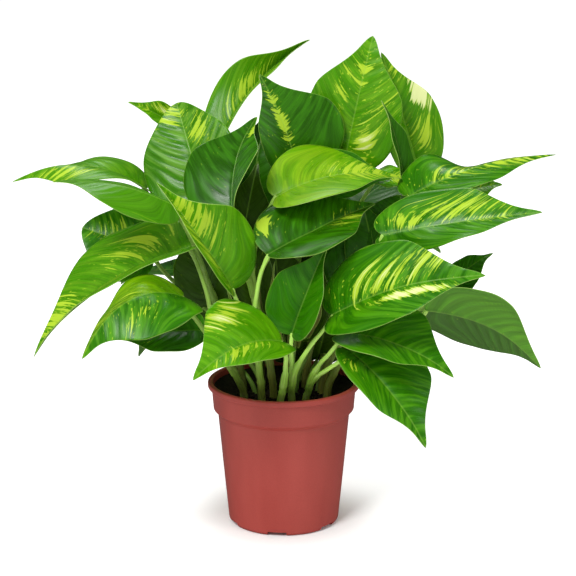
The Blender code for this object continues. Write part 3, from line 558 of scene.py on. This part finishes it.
def roundedEnds(points, inset):
    # two more rings near each end, so that the tube closes as a dome
    first = (points[1] - points[0]).normalized()
    last = (points[-1] - points[-2]).normalized()
    return ([points[0] - first * inset, points[0] - first * inset * 0.7] + points[:]
            + [points[-1] + last * inset * 0.7, points[-1] + last * inset])

def stemCurve(name):
    root, top = stemPlaces[name]
    foot = Vector((*root, stemShape["peatTop"])) * mm
    top = Vector(top) * mm
    rise = (top.z - foot.z) * 0.4
    return [foot, foot + Vector((0, 0, rise)), top - (top - foot) * 0.3, top]

def stalkEnd(leaf):
    here, ahead = onBlade(leaf, 0.02, 0), onBlade(leaf, 0.06, 0)
    rib = (ahead - here).normalized()
    up = (leaf["out"] - rib * leaf["out"].dot(rib)).normalized()
    arrive = Vector((leaf["along"].x * 0.5, leaf["along"].y * 0.5, 0.8)).normalized()
    return onBlade(leaf, 0.012, 0) - up * 1.3 * mm, arrive

def sway(first, second):
    return Vector((noise.noise(first), noise.noise(second), 0))

def makeStem(name, skin):
    look = stemShape
    bm = bmesh.new()
    for layer in ("stemPlace", "stemTone"):
        bm.verts.layers.float_vector.new(layer)
    seed = sum(ord(c) for c in name) % 31
    # stems at the left and the back are darker: painted shade
    gain = 0.55 + 0.5 * smooth(-40, 20, stemPlaces[name][0][0] - stemPlaces[name][0][1])
    old, young, fresh = (Vector(srgb(tone)) * gain for tone in look["tones"])
    curve = stemCurve(name)
    height = sum((bezier(curve, (i + 1) / 8)[0] - bezier(curve, i / 8)[0]).length for i in range(8)) / mm
    nodes = max(2, round(height / look["nodeSpacing"]))
    path = [bezier(curve, i / (nodes * 6))[0] for i in range(nodes * 6 + 1)]
    path.insert(0, curve[0] - Vector((0, 0, look["depth"] * mm)))
    path = [point + sway(Vector((i * 0.21, seed, 0)), Vector((i * 0.21, seed, 5))) * 1.2 * mm
            * smooth(0, 4, i) * smooth(0, 4, len(path) - 1 - i) for i, point in enumerate(path)]

    def stemRadius(share):
        ringAt = (share * nodes) % 1
        swelling = look["nodeSwelling"] * math.exp(-((ringAt - 0.5) / 0.07) ** 2)
        return (look["footRadius"] + (look["topRadius"] - look["footRadius"]) * share + swelling) * mm

    def stemTone(share):
        return old.lerp(young, smooth(0.1, 0.9, share))

    sweepTube(bm, roundedEnds(path, 1.2 * mm), stemRadius, stemTone, seed)
    stalks = [(node, leaf) for node, leaf in {**leaves, **backLeaves}.items() if leaf["stem"] == name]
    for i, (node, leaf) in enumerate(stalks):
        leaf = placedLeaf(node, leaf)
        start, way = bezier(curve, look["firstStalk"] - look["nextStalk"] * i)
        end, arrive = stalkEnd(leaf)
        reach = (end - start).length * look["reach"]
        control = [start, start + way * reach, end - arrive * reach, end]
        points = [bezier(control, j / 30)[0] for j in range(31)]
        points = [point + sway(Vector((j * 0.13, i, seed)), Vector((j * 0.13, seed, i))) * 1.1 * mm
                  * math.sin(math.pi * j / 30) for j, point in enumerate(points)]

        def stalkRadius(share):
            sheath = look["sheathSwelling"] * smooth(look["sheathShare"], look["sheathShare"] * 0.8, share)
            knee = look["knee"] * smooth(0.9, 0.95, share) * smooth(1.02, 0.98, share)
            size = look["stalkFoot"] + (look["stalkTop"] - look["stalkFoot"]) * share
            return (size + sheath * (1 - share) + knee) * mm

        def stalkTone(share):
            return young.lerp(fresh, smooth(0.15, 0.6, share))

        sweepTube(bm, roundedEnds(points, 0.8 * mm), stalkRadius, stalkTone, seed + i * 3, squash=0.12)
    bmesh.ops.recalc_face_normals(bm, faces=bm.faces)
    finishPiece("stem_and_stalks_" + name, bm, "stem_" + name, [skin])

def makeShoots(skin):
    bm = bmesh.new()
    for layer in ("stemPlace", "stemTone"):
        bm.verts.layers.float_vector.new(layer)
    old, young = (Vector(srgb(tone)) for tone in stemShape["shootTones"])
    for i, (name, leaf) in enumerate(innerLeaves.items()):
        if name.startswith("sheath"):
            continue
        end, arrive = stalkEnd(placedLeaf(name, leaf))
        foot = Vector((end.x * 0.35 + 4 * mm * math.sin(i * 2.4), end.y * 0.35 + 4 * mm * math.cos(i * 2.4),
                       96 * mm))
        rise = Vector((0, 0, (end - foot).length * 0.4))
        points = [bezier([foot, foot + rise, end - arrive * rise.length, end], j / 24)[0] for j in range(25)]
        sweepTube(bm, roundedEnds(points, 0.8 * mm), lambda share: (2.1 - 0.7 * share) * mm,
                  lambda share: old.lerp(young, share), 40 + i, squash=0.1)
    bmesh.ops.recalc_face_normals(bm, faces=bm.faces)
    finishPiece("inner_shoots", bm, None, [skin])

def makeStemSkin():
    # Living stalk: smooth green skin over juicy fibres, with fine lines along it and a soft sheen
    skin, tree, shader = newMaterial("livingStalk", {
        "IOR": 1.42, "Roughness": 0.42, "Subsurface Weight": 0.15, "Subsurface Radius": (0.6, 1.0, 0.2),
        "Subsurface Scale": 0.002})
    place, tone = (addNode(tree, "Attribute", {}, attribute_name=name).outputs["Vector"]
                   for name in ("stemPlace", "stemTone"))
    lines = addNode(tree, "Mapping", {0: place, 3: (1 / 26, 1 / 0.7, 1 / 0.7)})
    fibre = addNode(tree, "TexNoise", {0: lines, "Scale": 1, "Detail": 3})
    blotch = addNode(tree, "Mapping", {0: place, 3: (1 / 9, 1 / 4, 1 / 4)})
    patch = addNode(tree, "TexNoise", {0: blotch, "Scale": 1, "Detail": 2})
    gain = addNode(tree, "MapRange", {0: fibre, 1: 0.3, 2: 0.7, 3: 0.75, 4: 1.25})
    lined = addNode(tree, "VectorMath", {0: tone, "Scale": gain}, operation="SCALE")
    share = addNode(tree, "MapRange", {0: patch, 1: 0.5, 2: 0.75, 4: 0.35})
    colour = addNode(tree, "Mix", {0: share, 6: lined, 7: (*srgb(stemShape["paleSkin"]), 1)}, data_type="RGBA")
    bump = addNode(tree, "Bump", {"Height": fibre, "Strength": 0.4, "Distance": 0.2 * mm})
    connect(tree, shader, {"Base Color": colour, "Normal": bump})
    return skin

potShape = {
    # radii and heights in mm
    "height": 115, "wall": 1.5, "rim": 60, "collarTop": 57, "collarFoot": 55.5, "collarHeight": 22.5, "step": 3,
    "bodyTop": 52.1, "bodyFoot": 43.7, "foot": 41.2, "ringWidth": 4, "pad": 14, "recess": 3.2, "innerFoot": 41.2,
    # notches in the foot ring, the first at this angle from +X, and the drain holes between them
    "notches": 6, "notchWidth": 15, "notchHeight": 3.2, "notchDepth": 12, "firstNotch": -97,
    "drainRadius": 3.5, "drainCircle": 26, "steps": 168,
    "crisp": 50,    # degrees at a moulded corner from which it stays sharp
}

def spunProfile(profile, steps, closed=False):
    bm = bmesh.new()
    verts = [bm.verts.new((radius * mm, 0, height * mm)) for radius, height in profile]
    edges = [bm.edges.new(pair) for pair in zip(verts, verts[1:] + verts[:1] * closed)]
    bmesh.ops.spin(bm, geom=verts + edges, cent=(0, 0, 0), axis=(0, 0, 1), angle=math.tau, steps=steps,
                   use_merge=True)
    bmesh.ops.remove_doubles(bm, verts=bm.verts, dist=0.005 * mm)
    bmesh.ops.dissolve_degenerate(bm, edges=bm.edges, dist=0.005 * mm)
    bmesh.ops.recalc_face_normals(bm, faces=bm.faces)
    return bm

def arc(centre, radius, fromAngle, toAngle, count):
    turns = [math.radians(fromAngle + (toAngle - fromAngle) * i / count) for i in range(count + 1)]
    return [(centre[0] + radius * math.cos(t), centre[1] + radius * math.sin(t)) for t in turns]

def makeCutter(kind, size, radius, turn):
    bm = bmesh.new()
    if kind == "cube":
        bmesh.ops.create_cube(bm, size=1)
    else:
        bmesh.ops.create_cone(bm, cap_ends=True, segments=32, radius1=1, radius2=1, depth=1)
    bmesh.ops.scale(bm, vec=Vector(size) * mm, verts=bm.verts)
    bmesh.ops.translate(bm, vec=(radius * mm, 0, 0), verts=bm.verts)
    bmesh.ops.rotate(bm, cent=(0, 0, 0), matrix=Matrix.Rotation(turn, 3, "Z"), verts=bm.verts)
    cutter = bpy.data.objects.new("cutter", bpy.data.meshes.new("cutter"))
    bm.to_mesh(cutter.data)
    bm.free()
    bpy.context.scene.collection.objects.link(cutter)
    return cutter

def makePot(plastic):
    p = potShape
    collarFoot = p["height"] - p["collarHeight"]
    shoulder = collarFoot - p["step"]
    floor = p["recess"] + p["wall"]
    ringInner = p["foot"] - p["ringWidth"]
    top = p["height"]
    lip = p["rim"] - p["collarTop"]
    # up the inside, over the lip, down the outside and back under the foot
    profile = [(0, floor), (20, floor), (p["innerFoot"] - 1.5, floor)]
    profile += arc((p["innerFoot"] - 1.5, floor + 1.5), 1.5, -90, 0, 4)[1:]
    profile += [(p["bodyTop"] - p["wall"], shoulder - p["wall"])]
    profile += [(p["collarFoot"] - p["wall"], collarFoot - p["wall"] / 2)]
    profile += [(p["collarTop"] - p["wall"], top - lip - 1.4)]
    profile += arc((p["rim"] - 2.9, top - 1.3), 1.3, 170, 90, 4)
    profile += arc((p["rim"] - 1.3, top - 1.3), 1.3, 90, 0, 6)
    profile += arc((p["rim"] - 1.1, top - lip - 0.4), 1.1, 0, -80, 4)
    profile += arc((p["collarTop"] + 0.7, top - lip - 2.2), 0.7, 100, 180, 3)
    profile += [(p["collarFoot"] + 0.3, collarFoot + 3.5)]
    profile += arc((p["collarFoot"] - 0.9, collarFoot + 1.2), 1.1, 0, -60, 4)
    profile += arc((p["bodyTop"] + 1.2, shoulder - 0.4), 1.2, 125, 180, 3)
    profile += [(p["bodyTop"] - 2.6, shoulder - 28), (p["bodyTop"] - 5.2, shoulder - 56)]
    profile += arc((p["bodyFoot"] - 3, 3.2), 3.2, 0, -80, 6)
    profile += [(ringInner + 0.6, 0)] + arc((ringInner - 0.5, 0.9), 0.9, -20, 10, 1)
    profile += [(ringInner - 0.6, p["recess"]), (p["pad"] + 0.6, p["recess"]), (p["pad"], 0), (0, 0)]
    bm = spunProfile(profile, p["steps"])
    blank = bpy.data.objects.new("potBlank", bpy.data.meshes.new("potBlank"))
    bm.to_mesh(blank.data)
    bpy.context.scene.collection.objects.link(blank)
    cutters = []
    for i in range(p["notches"]):
        turn = math.radians(p["firstNotch"]) + math.tau * i / p["notches"]
        between = turn + math.pi / p["notches"]
        notch = (p["notchDepth"], p["notchWidth"], 2 * p["notchHeight"])
        cutters.append(makeCutter("cube", notch, ringInner + p["notchDepth"] / 2 - 1, turn))
        cutters.append(makeCutter("cone", (p["drainRadius"], p["drainRadius"], 12), p["drainCircle"], between))
    for cutter in cutters:
        cut = blank.modifiers.new("cut", "BOOLEAN")
        cut.operation = "DIFFERENCE"
        cut.object = cutter
    graph = bpy.context.evaluated_depsgraph_get()
    bm.free()
    bm = bmesh.new()
    bm.from_mesh(blank.evaluated_get(graph).to_mesh())
    for helper in [blank, *cutters]:
        bpy.data.objects.remove(helper)
    for edge in bm.edges:
        edge.smooth = edge.is_manifold and edge.calc_face_angle() < math.radians(p["crisp"])
    finishPiece("nursery_pot", bm, "pot", [plastic])

potFinish = {"dark": "#A33E36", "light": "#B0473E", "roughness": (0.33, 0.44)}

def makePotPlastic():
    # Injection-moulded polypropylene in terracotta red: eggshell sheen, faint flow marks, a fine dusty grain
    look = potFinish
    plastic, tree, shader = newMaterial("mouldedPolypropylene", {"IOR": 1.49})
    place = addNode(tree, "TexCoord", {}).outputs["Object"]
    grain = addNode(tree, "TexNoise", {0: place, "Scale": 1800, "Detail": 2})    # 0.5 mm grain
    flow = addNode(tree, "Mapping", {0: place, 3: (28, 28, 7)})                  # marks about 35 mm across
    drift = addNode(tree, "TexNoise", {0: flow, "Scale": 1, "Detail": 3, "Roughness": 0.55})
    share = addNode(tree, "MapRange", {0: drift, 1: 0.3, 2: 0.7})
    colour = addNode(tree, "Mix", {0: share, 6: (*srgb(look["dark"]), 1), 7: (*srgb(look["light"]), 1)},
                     data_type="RGBA")
    speck = addNode(tree, "MapRange", {0: grain, 1: 0.35, 2: 0.65, 3: 0.94, 4: 1.06})
    speckled = addNode(tree, "VectorMath", {0: colour, "Scale": speck}, operation="SCALE")
    satin, dull = look["roughness"]
    rough = addNode(tree, "MapRange", {0: drift, 1: 0.3, 2: 0.7, 3: satin, 4: dull})
    bump = addNode(tree, "Bump", {"Height": grain, "Strength": 0.25, "Distance": 0.1 * mm})
    connect(tree, shader, {"Base Color": speckled, "Roughness": rough, "Normal": bump})
    return plastic

peatShape = {
    "top": 101, "crown": 2, "radius": 53.3, "foot": 38, "floor": 5.2, "steps": 120,
    "lumps": 1.7,    # mm that clods rise and sink
    "crumbs": 900, "crumbSize": (0.5, 1.7), "seed": 5,
    # section of the loose peat banked up against the wall
    "bank": [(53.2, 97), (54.4, 104), (55, 110.2), (54.2, 110.6), (53, 110), (51.6, 109), (50, 107.8),
             (48, 106.6), (45.5, 105.4), (43, 104.5), (40, 103.8), (37, 103), (34, 102), (32, 100), (36, 98)],
    "bankSteps": 160,
}

def makePlug(peat):
    p = peatShape
    profile = [(0, p["floor"]), (p["foot"], p["floor"]), (p["radius"] - 4.5, 86), (p["radius"], 91)]
    profile += [(p["radius"], 97), (p["radius"] - 0.4, p["top"] - 1)]
    shares = [i / 22 for i in range(21, -1, -1)]
    profile += [(p["radius"] * share, p["top"] + p["crown"] * (1 - share**2)) for share in shares]
    bm = spunProfile(profile, p["steps"])
    for vert in bm.verts:
        if vert.co.z > (p["top"] - 0.5) * mm:
            rough = noise.fractal(vert.co * 220, 0.8, 2.1, 5) + 0.6 * noise.noise(vert.co * 60)
            vert.co.z += rough * p["lumps"] * mm
    finishPiece("peat_plug", bm, "soil", [peat])

def makeCrumbs(peat):
    p = peatShape
    rng = random.Random(p["seed"])
    bm = bmesh.new()
    for i in range(p["crumbs"]):
        radius, turn = math.sqrt(rng.random()) * (p["radius"] - 2.5), rng.random() * math.tau
        size = rng.uniform(*p["crumbSize"]) * mm
        start = len(bm.verts)
        bmesh.ops.create_icosphere(bm, subdivisions=1, radius=size)
        bm.verts.ensure_lookup_table()
        crumb = bm.verts[start:]
        stretch = Vector((rng.uniform(0.6, 1.5), rng.uniform(0.6, 1.3), rng.uniform(0.5, 0.9)))
        for vert in crumb:
            vert.co *= 1 + 0.35 * noise.noise(vert.co / size * 1.3 + Vector((i, 0, 0)))
        bmesh.ops.scale(bm, vec=stretch, verts=crumb)
        lift = p["top"] + p["crown"] * (1 - (radius / p["radius"]) ** 2) + rng.uniform(-0.4, 1.0)
        place = Vector((radius * math.cos(turn), radius * math.sin(turn), lift)) * mm
        bmesh.ops.translate(bm, vec=place, verts=crumb)
    bmesh.ops.recalc_face_normals(bm, faces=bm.faces)
    finishPiece("peat_crumbs", bm, None, [peat])

def makeBank(peat):
    p = peatShape
    bm = spunProfile(p["bank"], p["bankSteps"], closed=True)
    for vert in bm.verts:
        if math.hypot(vert.co.x, vert.co.y) < 54 * mm and vert.co.z > 100 * mm:
            rough = noise.fractal(vert.co * 260, 0.8, 2.1, 5) + 0.8 * noise.noise(vert.co * 50)
            vert.co.z += rough * p["lumps"] * mm
    finishPiece("peat_bank", bm, None, [peat])

def makePeatFinish():
    # Milled sphagnum peat: near black, broken by brown and dull green threads, with no sheen
    peat, tree, shader = newMaterial("milledPeat", {"Roughness": 0.95, "Specular IOR Level": 0.25})
    place = addNode(tree, "TexCoord", {}).outputs["Object"]
    clod = addNode(tree, "TexNoise", {0: place, "Scale": 420, "Detail": 5, "Roughness": 0.7})    # 2 mm clods
    thread = addNode(tree, "TexNoise", {0: place, "Scale": 900, "Detail": 3, "Distortion": 2.5})
    dark = addNode(tree, "Mix", {0: clod, 6: (*srgb("#070502"), 1), 7: (*srgb("#2A1F12"), 1)}, data_type="RGBA")
    share = addNode(tree, "MapRange", {0: thread, 1: 0.58, 2: 0.72, 4: 0.7})
    colour = addNode(tree, "Mix", {0: share, 6: dark, 7: (*srgb("#3B3A16"), 1)}, data_type="RGBA")
    bump = addNode(tree, "Bump", {"Height": clod, "Strength": 0.9, "Distance": 0.8 * mm})
    connect(tree, shader, {"Base Color": colour, "Normal": bump})
    return peat

stage = {
    "floorRadius": 6.0, "floorColour": "#FBFBFB", "floorReflected": "#6A6A6A",
    "floorGlow": 0.42, "paintedShadowRadii": (0.034, 0.1),    # the floor's glow fades out between these round the pot: painted shadow over the real one
    "sky": 0.62, "reflected": 0.05,
    "key": dict(place=(-0.9, -1.6, 2.2), size=0.8, power=48),
    "fill": dict(place=(1.9, -1.3, 1.3), size=0.8, power=6),
    "back": dict(place=(-0.3, 1.3, 2.0), size=0.9, power=12),
    "lens": 120.06, "target": (0.0034, 0, 0.1897), "rise": 14.24, "distance": 1.5,
}

def makeStage():
    bm = bmesh.new()
    bmesh.ops.create_circle(bm, cap_ends=True, segments=64, radius=stage["floorRadius"])
    mesh = bpy.data.meshes.new("floor")
    bm.to_mesh(mesh)
    bm.free()
    floor = bpy.data.objects.new("floor", mesh)
    bpy.context.scene.collection.objects.link(floor)
    card, tree, shader = newMaterial("whiteCard", {"Roughness": 0.9, "Specular IOR Level": 0.1})
    rays = addNode(tree, "LightPath", {}).outputs
    seen = addNode(tree, "Mix", {0: rays["Is Glossy Ray"], 6: (*srgb(stage["floorColour"]), 1),
                                 7: (*srgb(stage["floorReflected"]), 1)}, data_type="RGBA")
    place = addNode(tree, "TexCoord", {}).outputs["Object"]
    fromAxis = addNode(tree, "VectorMath", {0: place}, operation="LENGTH")
    # near the pot the floor's camera-only glow fades out, leaving a darker ring that is partly the real shadow
    # and partly painted shadow
    near, far = stage["paintedShadowRadii"]
    faded = addNode(tree, "MapRange", {0: fromAxis, 1: near, 2: far, 4: stage["floorGlow"]},
                    interpolation_type="SMOOTHSTEP")
    glow = addNode(tree, "Math", {0: rays["Is Camera Ray"], 1: faded}, operation="MULTIPLY")
    connect(tree, shader, {"Base Color": seen, "Emission Strength": glow, "Emission Color": (1, 1, 1, 1)})
    mesh.materials.append(card)
    world = bpy.data.worlds.new("studio")
    world.use_nodes = True
    tree = world.node_tree
    rays = addNode(tree, "LightPath", {}).outputs
    soft = addNode(tree, "Mix", {0: rays["Is Camera Ray"], 2: stage["sky"], 3: 1.0})
    strength = addNode(tree, "Mix", {0: rays["Is Glossy Ray"], 2: soft, 3: stage["reflected"]})
    connect(tree, tree.nodes["Background"], {0: (1, 1, 1, 1), 1: strength})
    bpy.context.scene.world = world
    for name in ("key", "fill", "back"):
        look = stage[name]
        lamp = bpy.data.lights.new(name, "AREA")
        lamp.shape = "SQUARE"
        lamp.size = look["size"]
        lamp.energy = look["power"]
        light = bpy.data.objects.new(name, lamp)
        light.location = look["place"]
        light.rotation_euler = (Vector((0, 0, 0.2)) - light.location).to_track_quat("-Z", "Y").to_euler()
        bpy.context.scene.collection.objects.link(light)

def makeCamera():
    camera = bpy.data.cameras.new("camera")
    camera.lens = stage["lens"]
    camera.sensor_width = 36
    holder = bpy.data.objects.new("camera", camera)
    target, rise = Vector(stage["target"]), math.radians(stage["rise"])
    holder.location = target + Vector((0, -math.cos(rise), math.sin(rise))) * stage["distance"]
    holder.rotation_euler = (target - holder.location).to_track_quat("-Z", "Y").to_euler()
    bpy.context.scene.collection.objects.link(holder)
    bpy.context.scene.camera = holder

makeCamera()
makeStage()
bpy.context.scene.view_settings.view_transform = "Standard"
print("stage and camera set")
makePot(makePotPlastic())
print("pot spun and notched")
peat = makePeatFinish()
makePlug(peat)
makeCrumbs(peat)
makeBank(peat)
print("peat heaped")
skin = makeStemSkin()
for name in stemPlaces:
    makeStem(name, skin)
print("stems and stalks grown")
skins = makeLeafSkins()
for name, leaf in {**leaves, **backLeaves, **innerLeaves}.items():
    makeLeaf(name, leaf, skins)
print("blades unfolded")
makeShoots(skin)
print("inner shoots grown")
